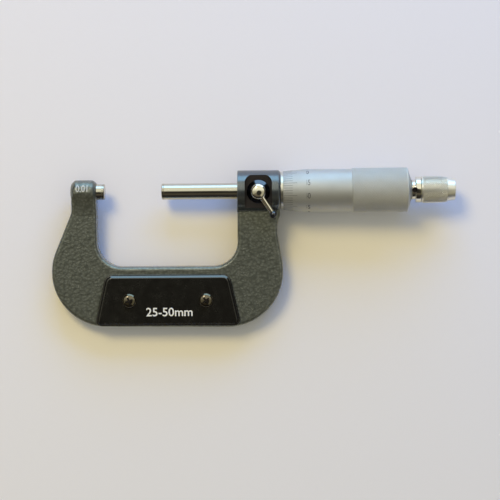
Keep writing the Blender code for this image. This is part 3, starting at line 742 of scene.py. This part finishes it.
def makeMeasuringLine(size):
    radius, chamfer, tip, joint = size["radius"], size["chamfer"], size["tip"], size["joint"]
    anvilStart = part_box("anvil")[0].x
    anvil = turn("anvilPin", soften([
        (anvilStart, 0), (anvilStart, radius - chamfer), (anvilStart + chamfer, radius),
        (-tip - joint, radius), (-tip - joint, 0),
    ], 0.08 * mm), "groundSteel")
    place(smoothPiece(anvil), "frame_body", "ground_steel", "anvil")
    face = turn("anvilFace", soften([
        (-tip, 0), (-tip, radius), (-chamfer, radius), (0, radius - chamfer), (0, 0),
    ], 0.05 * mm), "lappedCarbide")
    place(smoothPiece(face), "frame_body", "carbide", "anvil_tip")
    start = line["gapAtRest"]
    face = turn("spindleFace", soften([
        (start, 0), (start, radius - chamfer), (start + chamfer, radius),
        (start + tip, radius), (start + tip, 0),
    ], 0.05 * mm), "lappedCarbide")
    place(smoothPiece(face), "spindle_body", "carbide", "spindle_tip")
    shaft, end, holeEnd = start + tip + joint, line["spindleEnd"], line["spindleEnd"] - size["holeDepth"]
    spindle = turn("spindleShaft", soften([
        (shaft, 0), (shaft, radius), (size["groundEnd"], radius), (size["grooveStart"], size["groove"]),
        (size["grooveEnd"], size["groove"]), (size["threadStart"], size["thread"]),
        (size["threadEnd"] - 1 * mm, size["thread"]), (size["threadEnd"], size["taperStart"]),
        (end, size["taperEnd"]), (end, size["hole"]), (holeEnd, size["hole"]), (holeEnd, 0),
    ], 0.08 * mm), "groundSteel")
    place(smoothPiece(spindle), "spindle_body", "ground_steel", "spindle")


makeMeasuringLine(measuring)
print("measuring line done")


# Scale sleeve: the line of reference and the half-millimetre scale

sleeve = {
    **lengths(
        radius=7.3, wall=1.0, hole=0.6, lineWidth=0.13, lineHeight=0.03, reference=28, short=1.6, long=2.4,
        figures=1.9, referenceLead=2.6, holeAt=5,
    ),
    "first": 25, "last": 50,
    "referenceTurn": math.radians(-12),  # from the front towards the frame
}


def makeSleeve(size):
    start, end = sleeveLow.x, sleeveHigh.x
    inner = size["radius"] - size["wall"]
    barrel = turn("scaleSleeve", soften([
        (start, size["radius"]), (end, size["radius"]), (end, inner), (start, inner),
    ], 0.12 * mm, closed=True), "sleeveChrome", 144, closed=True)
    hole = rod("spannerHole", -20 * mm, -4 * mm, size["hole"], "sleeveChrome", 32, "Z")
    hole.location.x = line["hubEnd"] + size["holeAt"]
    combine(barrel, hole, "DIFFERENCE")
    place(smoothPiece(barrel), "frame_body", "satin_chrome", "scale_sleeve")

    # The thimble's edge stands here when the faces are as far apart as the scale's first figure says.
    zero = line["thimbleStart"] + size["first"] * mm - line["gapAtRest"]
    bend = {"Start": 0.0, "Radius": size["radius"], "Slope": 0.0, "Turn": size["referenceTurn"]}
    short, long = size["short"], size["long"]
    count = size["last"] - size["first"]
    rows = {
        "referenceLine": {
            "Count": 1, "First": (zero - size["referenceLead"], 0, 0), "Run": (1, 0, 0),
            "Short": size["reference"], "Long": size["reference"], "Every": 1,
        },
        "millimetreLines": {
            "Count": count + 1, "First": (zero, 0, 0), "Run": (0, 1, 0),
            "Short": short, "Long": long, "Every": 5,
        },
        "halfMillimetreLines": {
            "Count": count, "First": (zero + 0.5 * mm, 0, 0), "Run": (0, -1, 0),
            "Short": short, "Long": short, "Every": 5,
        },
    }
    common = {"Width": size["lineWidth"], "Height": size["lineHeight"], "Step": (mm, 0, 0)}
    marks = [scaleLines(name, {**common, **row}, bend, "blackFill") for name, row in rows.items()]
    figures = range(size["first"], size["last"] + 1, 5)
    marks.append(bentText(
        "sleeveFigures", [str(n) for n in figures], size["figures"],
        [(zero + (n - size["first"]) * mm, long + 0.7 * size["figures"]) for n in figures],
        bend, "blackFill", 0.75,
    ))
    for piece in marks:
        place(piece, "frame_body", "satin_chrome")


makeSleeve(sleeve)
print("sleeve done")


# Thimble: bevelled scale, barrel and knurled grip

thimble = {
    **lengths(
        edgeRadius=7.75, bevel=8.2, radius=8.5, gripRadius=8.9, gripLength=22.3, tail=1.5, tailRadius=3.95,
        bore=7.5, cavityEnd=110.0, chamfer=0.3, hole=1.6, coneEnd=2.6, coneStart=3.1, knurlDepth=0.2,
        lineStart=0.1, short=3.6, long=5.4, lineWidth=0.12, lineHeight=0.03, figures=2.2, figuresAt=9.6,
        lead=0.5,
    ),
    "knurlAround": 90, "knurlFlat": 2.2, "segments": 360, "count": 50,
}


def knurledRings(start, end, radius, around, perPitch=4):
    # Even rings over a grip, a whole number of knurl pitches long.
    pitch = 2 * math.pi * radius / around
    pitches = int((end - start) / pitch)
    first = (start + end - pitches * pitch) / 2
    return first, first + pitches * pitch, [
        (first + pitch * number / perPitch, radius) for number in range(pitches * perPitch + 1)
    ]


def makeThimble(size):
    start, end = line["thimbleStart"], line["thimbleEnd"]
    gripEnd = end - size["tail"]
    gripStart = gripEnd - size["gripLength"]
    chamfer, hole, grip = size["chamfer"], size["hole"], size["gripRadius"]
    knurlStart, knurlEnd, rings = knurledRings(
        gripStart + chamfer, gripEnd - chamfer, grip, size["knurlAround"]
    )
    front = soften([
        (start, size["bore"]), (start, size["edgeRadius"]), (start + size["bevel"], size["radius"]),
        (gripStart, size["radius"]), (gripStart + chamfer, grip - 0.05 * mm), (knurlStart, grip),
    ], 0.15 * mm)
    tail = soften([
        (knurlEnd, grip), (gripEnd - chamfer / 2, grip - 0.05 * mm), (gripEnd, grip - chamfer),
        (end, size["tailRadius"]), (end, hole),
    ], 0.2 * mm)
    cavity = [
        (gripEnd, hole), (gripEnd, size["coneEnd"]), (size["cavityEnd"] + 0.2 * mm, size["coneStart"]),
        (size["cavityEnd"], size["coneStart"]), (size["cavityEnd"], size["bore"]),
    ]
    profile = front[:-1] + rings + tail[1:] + cavity
    barrel = turn("thimbleBarrel", profile, "satinChrome", size["segments"], closed=True)
    knurl(barrel, size, knurlStart, knurlEnd, grip, "satinChrome")
    repaint(barrel, "gripChrome",
            lambda middle: gripStart < middle.x < gripEnd and middle.yz.length > size["radius"])
    place(smoothPiece(barrel, 40, weighted=False), "thimble_body", "satin_chrome", "thimble")

    slope = (size["radius"] - size["edgeRadius"]) / size["bevel"]
    # Its zero meets the line of reference at the scale's first figure, so at rest it stands further round.
    travel = sleeve["first"] * mm - line["gapAtRest"]
    zeroTurn = sleeve["referenceTurn"] + 2 * math.pi * travel / size["lead"]
    bend = {"Start": start, "Radius": size["edgeRadius"], "Slope": slope, "Turn": zeroTurn}
    step = 2 * math.pi / size["count"] * size["edgeRadius"]
    lines = scaleLines("thimbleLines", {
        "Count": size["count"], "First": (start + size["lineStart"], 0, 0), "Step": (0, step, 0),
        "Run": (1, 0, 0), "Short": size["short"], "Long": size["long"], "Every": 5,
        "Width": size["lineWidth"], "Height": size["lineHeight"],
    }, bend, "paleGreyFill")
    figures = range(0, size["count"], 5)
    numbers = bentText(
        "thimbleFigures", [str(n) for n in figures], size["figures"],
        [(start + size["figuresAt"], n * step) for n in figures],
        {**bend, "Slope": slope * size["bevel"] / size["figuresAt"]}, "paleGreyFill", 0.8,
    )
    for piece in (lines, numbers):
        place(piece, "thimble_body", "satin_chrome")


makeThimble(thimble)
print("thimble done")


# Ratchet stop: neck and flange, knurled knob, end screw

ratchet = {
    **lengths(
        neckRadius=3.95, neckLength=1.5, flangeRadius=5.2, flangeLength=2.15, holeRadius=1.1,
        knobRadius=5.3, lip=0.5, gripLength=10.4, noseRadius=4.2, cavityRadius=4.08, cavityLength=6.7,
        journal=2.2, tail=1.3, toothRadius=3, toothLength=1.1, hole=0.95, holeDepth=5, mouth=3, bore=2.4,
        screwRadius=2.8, screwShank=0.8, screwHead=1.5, taper=0.4, taperLength=3.0, knurlDepth=0.22,
    ),
    "knurlAround": 42, "knurlFlat": 3.0, "segments": 252,
}


def makeRatchet(size):
    start = line["thimbleEnd"] + 0.1 * mm
    flange = start + size["neckLength"]
    flangeEnd = flange + size["flangeLength"]
    tooth = flangeEnd + size["toothLength"]
    end, holeEnd = stemHigh.x, stemHigh.x - size["holeDepth"]
    stem = turn("ratchetStem", soften([
        (stemLow.x, 0), (stemLow.x, size["tail"]), (start, size["tail"]),
        (start, size["neckRadius"]), (flange, size["neckRadius"]),
        (flange, size["flangeRadius"]), (flangeEnd, size["flangeRadius"]),
        (flangeEnd, size["toothRadius"]), (tooth, size["toothRadius"]), (tooth, size["journal"]),
        (end, size["journal"]), (end, size["hole"]), (holeEnd, size["hole"]), (holeEnd, 0),
    ], 0.25 * mm), "brightChrome")
    # Painted shade: the hole's walls take the nearly black steel.
    hole = rod("spannerHole", 2 * mm, 12 * mm, size["holeRadius"], "recessShadeSteel", 32, "Z")
    hole.location.x = flange - size["holeRadius"] / 3
    combine(stem, hole, "DIFFERENCE")
    place(smoothPiece(stem), "thimble_body", "polished_chrome", "ratchet_stem")

    start = knobLow.x
    gripEnd = start + size["gripLength"]
    knurlStart, knurlEnd, rings = knurledRings(
        start + size["lip"], gripEnd - 0.1 * mm, size["knobRadius"], size["knurlAround"], 6
    )
    taperStart = knurlEnd - size["taperLength"]
    rings = [(x, r - size["taper"] * (max(0, x - taperStart) / size["taperLength"]) ** 1.5) for x, r in rings]
    core = size["knobRadius"] - size["knurlDepth"]
    endCore = core - size["taper"]
    front = soften([
        (start, size["cavityRadius"]), (start, core), (knurlStart - 0.1 * mm, core),
        (knurlStart, size["knobRadius"]),
    ], 0.15 * mm)
    back = soften([
        rings[-1], (knurlEnd + 0.1 * mm, endCore), (gripEnd, endCore),
        (knobHigh.x, size["noseRadius"]), (knobHigh.x, size["mouth"]), (stemHigh.x + 0.1 * mm, size["mouth"]),
        (stemHigh.x + 0.1 * mm, size["bore"]),
    ], 0.2 * mm)
    cavityEnd = start + size["cavityLength"]
    profile = front[:-1] + rings + back[1:] + [(cavityEnd, size["bore"]), (cavityEnd, size["cavityRadius"])]
    knob = turn("ratchetKnob", profile, "knurledChrome", size["segments"], closed=True)
    knurl(knob, size, knurlStart, knurlEnd, size["knobRadius"], "knurledChrome")
    place(smoothPiece(knob, 40, weighted=False), "knob_body", "satin_chrome", "ratchet_knob")

    low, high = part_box("ratchet_end_screw")
    head, shank, radius = high.x - size["screwHead"], size["screwShank"], size["screwRadius"]
    screw = turn("ratchetEndScrew", soften([
        (low.x, 0), (low.x, shank), (head, shank), (head, radius), (high.x - 0.5 * mm, radius),
        (high.x, radius * 0.7), (high.x, 0),
    ], 0.2 * mm), "brightChrome", 64)
    slot = slab("slot", rectangle(-4, -0.3, 4, 0.3), [(-0.6 * mm, 0), (2 * mm, 0)], "brightChrome")
    slot.matrix_world = Matrix.Translation((high.x, 0, 0)) @ Matrix.Rotation(math.pi / 2, 4, "Y")
    combine(screw, slot, "DIFFERENCE")
    place(smoothPiece(screw), "thimble_body", "polished_chrome", "ratchet_end_screw")


makeRatchet(ratchet)
print("ratchet done")


# Lock lever

lever = {
    **lengths(
        base=4.6, baseHeight=0.8, cone=1.0, dome=3.1, drumHeight=0.8, domeHeight=1.5, arm=1.2, armEnd=1.05,
        ball=1.5, reach=12.3, bore=1.2,
    ),
    "turn": math.radians(-57),
    "ballStart": 0.28,  # share of half a turn that the arm hides
}


def makeLever(size):
    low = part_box("lock_lever")[0].z
    shoulder = low + size["baseHeight"]
    root = shoulder + size["cone"]
    brim = root + size["drumHeight"]
    bore, inner = size["bore"], root + 0.1 * mm
    dome = domeProfile(brim, size["domeHeight"], size["dome"], 14)
    base = soften([
        (low, bore), (low, size["base"]), (shoulder, size["base"]),
        (root, size["dome"]), (brim, size["dome"]),
    ], 0.12 * mm)
    body = turn("lockLever", base + dome[1:] + [
        (brim + size["domeHeight"], 0), (inner, 0), (inner, bore),
    ], "brightChrome", axis="Z", closed=True)
    repaint(body, "darkLeverSteel", lambda middle: middle.z < root - 0.02 * mm)
    height = root + size["arm"] / 4
    length = size["reach"] - size["ball"]
    steps = 12
    shares = [n / steps - size["ballStart"] for n in range(steps)]
    ball = [
        (length + size["ball"] * math.sin(math.pi * share), size["ball"] * math.cos(math.pi * share))
        for share in shares if share < 0.5
    ]
    arm = turn("arm", [
        (bore, 0), (bore, size["arm"]), (length - 1.6 * mm, size["armEnd"]),
        *ball, (length + size["ball"], 0),
    ], "brightChrome", 48)
    # Painted shade: the ball at the arm's end takes the dark steel.
    repaint(arm, "darkLeverSteel", lambda middle: middle.x > length - 1.2 * mm)
    arm.data.transform(Matrix.Translation((0, 0, height)) @ Matrix.Rotation(size["turn"], 4, "Z"))
    combine(body, arm, "UNION")
    body.data.transform(Matrix.Translation((line["lock"], 0, 0)))
    return smoothPiece(body, 40)


place(makeLever(lever), "lever_body", "polished_chrome", "lock_lever")
print("lock lever done")


# Front plate, its screws and the range

plate = {
    **lengths(
        ledge=0.42, bevel=0.85, screwSpacing=30.7, screwDrop=43.3, screwHead=2.9, screwHeight=1.4,
        screwShank=1.4, wordsHeight=3.5,
    ),
    "width": 49.6, "top": 32.95, "height": 20.55, "slope": math.radians(12.7), "topCorner": 3.4,
    "lowCorner": 2.2, "bevelLean": math.radians(39), "crossLength": 3.2, "crossWidth": 0.75,
    "words": "25-50mm", "wordsAt": (25.7 * mm, -47.9 * mm),
    "screwTurns": (20, 38),  # degrees
}


def makePlate(size):
    middle = (plateLow.x + plateHigh.x) / 2
    half = size["width"] / 2
    wide = half + size["height"] * math.tan(size["slope"])
    low, high = plateLow.z, plateHigh.z
    top, bottom = -size["top"], -size["top"] - size["height"]
    outline = roundedOutline([
        (-half, top, size["topCorner"]), (-wide, bottom, size["lowCorner"]),
        (wide, bottom, size["lowCorner"]), (half, top, size["topCorner"]),
    ], math.radians(6))
    outline = [point + Vector((middle, 0)) for point in outline]
    bevel, ledge = size["bevel"], size["ledge"]
    drop = bevel * math.tan(size["bevelLean"])
    # Side, ledge, bevel and top, each with its edge broken
    levels = [(low, 0), (high - drop - 0.05 * mm, 0), (high - drop, 0.05 * mm), (high - drop, ledge)]
    levels += [(high - drop * share, ledge + bevel * (1 - share)) for share in (0.93, 0.14)]
    levels += [(high - 0.03 * mm, ledge + bevel), (high, ledge + bevel + 0.18 * mm)]
    body = slab("frontPlate", outline, levels, "blackEnamel")
    place(smoothPiece(body, 40), "frame_body", "black_enamel", "front_plate")
    reach, turns = size["screwSpacing"] / 2, size["screwTurns"]
    makePlateScrew(size, "plateScrewLeft", "plate_screw_left", middle - reach, turns[0])
    makePlateScrew(size, "plateScrewRight", "plate_screw_right", middle + reach, turns[1])
    shape = flatText(size["words"], size["wordsHeight"], 0.08 * mm, 1.02, 0.05 * mm)
    words = pieceFrom("rangeWords", shape, "whiteFill")
    words.data.transform(Matrix.Translation((*size["wordsAt"], high)))
    place(words, "frame_body", "black_enamel")


def makePlateScrew(size, name, node, x, turned):
    low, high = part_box(node)
    base = plateHigh.z + 0.1 * mm
    shank = size["screwShank"]
    screw = turn(name, [
        (low.z, 0), (low.z, shank), (base, shank),
        *domeProfile(base, size["screwHeight"], size["screwHead"], 8), (base + size["screwHeight"], 0),
    ], "darkScrewSteel", 64, axis="Z")
    length, width = size["crossLength"] / 2, size["crossWidth"] / 2
    levels = [(high.z - 0.9 * mm, 0.12 * mm), (high.z + mm, -0.15 * mm)]
    for x2, y2 in ((length, width), (width, length)):
        # Painted shade: the cross's walls take the nearly black steel.
        cross = slab("cross", rectangle(-x2, -y2, x2, y2), levels, "recessShadeSteel")
        combine(screw, cross, "DIFFERENCE")
    spot = Matrix.Translation((x, -size["screwDrop"], 0))
    screw.data.transform(spot @ Matrix.Rotation(math.radians(turned), 4, "Z"))
    place(smoothPiece(screw), "frame_body", "polished_chrome", node)


makePlate(plate)
print("plate done")


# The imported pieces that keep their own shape, all of them inside, are of oiled steel but for these two

inside = {"clamp_shoe": "turnedBrass", "ratchet_spring": "springWire"}
for node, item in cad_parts.items():
    item.data.materials.clear()
    item.data.materials.append(finish[inside.get(node, "oiledSteel")])


# Table, light and camera. The part rests on its grip, its hub and the frame's edge, so the table leans to it.

rest = {
    "up": Vector((0.0142, 0.0751, 0.9971)).normalized(),
    "touch": Vector((53.4, -1.17, -8.17)) * mm,
    "reach": 2500 * mm,
}


def makeTable(size):
    across = Vector((1, 0, 0))
    away = size["up"].cross(across).normalized()
    across = away.cross(size["up"])
    shape = bmesh.new()
    shape.faces.new([
        shape.verts.new(size["touch"] + (across * sx + away * sy) * size["reach"])
        for sx, sy in ((-1, -1), (1, -1), (1, 1), (-1, 1))
    ])
    table = pieceFrom("table", shape, "table")
    if table.data.polygons[0].normal.z < 0:
        table.data.flip_normals()


makeTable(rest)

room = {
    "ceiling": "fffce4", "farCeiling": "aca78d", "low": "2a2826",
    "shade": "6f6653",  # the dark shape over the near side
    "overhead": "312e28",  # and the darker one straight above
    "window": "bce6ff", "windowLevel": 2.8, "bulb": "fff4dc", "bulbLevel": 14.0, "ambient": "b3b3a8",
    "seen": "dadade",
    # Where one thing fades into the next, as angles in radians or shares of a direction
    "ceilingFade": (-0.1, 0.35), "shadeTop": (-0.02, -0.32), "shadeSides": (0.85, 0.7),
    "shadeAside": 0.3, "shadeDusk": (-0.35, -1.05), "overheadEdge": (0.935, 0.95), "wallTop": (0.4, 0.6),
    "paneSides": (0.62, 0.52), "paneSill": (-0.08, -0.04), "paneHead": (0.52, 0.46),
    "bulbEdge": (0.996, 0.998),
}
lampSide = Vector((-0.36, 0.62, 0.80)).normalized()  # where the ceiling lamp hangs
windowSide = Vector((0.22, 1.0, 0.3)).normalized()
overheadSide = Vector((0.1, -0.2, 0.97)).normalized()


def makeRoom(size):
    # What the metal mirrors: a cream ceiling with a glow about its lamp, a low window beyond the part,
    # and a dark shape over the near side of the table. Dull surfaces get an even light instead.
    world = bpy.data.worlds.new("room")
    scene.world = world
    world.use_nodes = True
    tree = world.node_tree
    tree.nodes.clear()
    view = addNode(tree, "ShaderNodeTexCoord").outputs["Generated"]
    x, y, z = addNode(tree, "ShaderNodeSeparateXYZ", {0: view}).outputs
    calc = calculator(tree)

    def fade(value, edge):
        return addNode(tree, "ShaderNodeMapRange", {
            "Value": value, "From Min": size[edge][0], "From Max": size[edge][1],
        }, interpolation_type="SMOOTHSTEP")

    def colour(name, level=1):
        return tuple(c * level for c in hexColour(size[name]))

    lean = calc("ARCTAN2", y, z)
    across = calc("ARCTAN2", x, calc("MULTIPLY", y, -1))
    aside = calc("ABSOLUTE", calc("ADD", across, size["shadeAside"]))
    shaded = calc("MULTIPLY", fade(lean, "shadeTop"), fade(aside, "shadeSides"))
    toLamp, toOverhead = (
        vectorMath(tree, "DOT_PRODUCT", {0: view, 1: tuple(way)}).outputs["Value"]
        for way in (lampSide, overheadSide)
    )
    ceiling = mix(tree, fade(y, "ceilingFade"), colour("farCeiling"), colour("ceiling"))
    shade = mix(tree, fade(lean, "shadeDusk"), colour("shade"), colour("low"))
    filled = mix(tree, shaded, ceiling, shade)
    covered = mix(tree, fade(toOverhead, "overheadEdge"), filled, colour("overhead"))
    walls = mix(tree, fade(z, "wallTop"), colour("low"), covered)
    beside = calc("ABSOLUTE", calc("SUBTRACT", calc("ARCTAN2", x, y), windowSide.x))
    upright = calc("MULTIPLY", fade(z, "paneSill"), fade(z, "paneHead"))
    pane = calc("MULTIPLY", fade(beside, "paneSides"), upright)
    lighted = mix(tree, pane, walls, colour("window", size["windowLevel"]))
    window = mix(tree, fade(toLamp, "bulbEdge"), lighted, colour("bulb", size["bulbLevel"]))
    mirrored, even, seen = (
        addNode(tree, "ShaderNodeBackground", {"Color": shown, "Strength": 1.0})
        for shown in (window, colour("ambient"), colour("seen"))
    )
    rays = addNode(tree, "ShaderNodeLightPath").outputs
    lit = addNode(tree, "ShaderNodeMixShader", {0: rays["Is Glossy Ray"], 1: even, 2: mirrored})
    whole = addNode(tree, "ShaderNodeMixShader", {0: rays["Is Camera Ray"], 1: lit, 2: seen})
    addNode(tree, "ShaderNodeOutputWorld", {0: whole})


makeRoom(room)

lamps = {
    "window": {"from": windowSide, "away": 1000, "size": (1000, 500), "watts": 12.55, "colour": "5097ff"},
    "ceilingLamp": {"from": lampSide, "away": 1400, "size": (480, 480), "watts": 10.3, "colour": "ffe698"},
}


def makeLamps(lamps):
    target = Vector((55, -20, 0)) * mm
    for name, lamp in lamps.items():
        data = bpy.data.lights.new(name, "AREA")
        data.shape = "RECTANGLE"
        data.size, data.size_y = (side * mm for side in lamp["size"])
        data.energy = lamp["watts"]
        data.color = hexColour(lamp["colour"])[:3]
        item = addItem(name, data)
        item.location = target + lamp["from"] * lamp["away"] * mm
        item.rotation_euler = (target - item.location).to_track_quat("-Z", "Y").to_euler()
        item.visible_glossy = False  # the room's own window and glow are what the metal mirrors


makeLamps(lamps)

camera = {
    "lookAt": Vector((58.0, -23.7, 0)) * mm,
    "distance": 600 * mm,
    "lens": 107.6,
    "sensor": 36,
    "roll": math.radians(0.45),
}


def makeCamera(size):
    data = bpy.data.cameras.new("camera")
    data.lens = size["lens"]
    data.sensor_width = size["sensor"]
    data.clip_start, data.clip_end = 0.01, 20
    item = addItem("camera", data)
    back = rest["up"]
    right = (Vector((1, 0, 0)) - back * back.x).normalized()
    up = back.cross(right)
    tilted = right * math.cos(size["roll"]) - up * math.sin(size["roll"])
    upright = up * math.cos(size["roll"]) + right * math.sin(size["roll"])
    turned = Matrix((tilted, upright, back)).transposed().to_4x4()
    item.matrix_world = Matrix.Translation(size["lookAt"] + back * size["distance"]) @ turned
    scene.camera = item


makeCamera(camera)
scene.view_settings.view_transform = "Standard"

print("table, light and camera done")
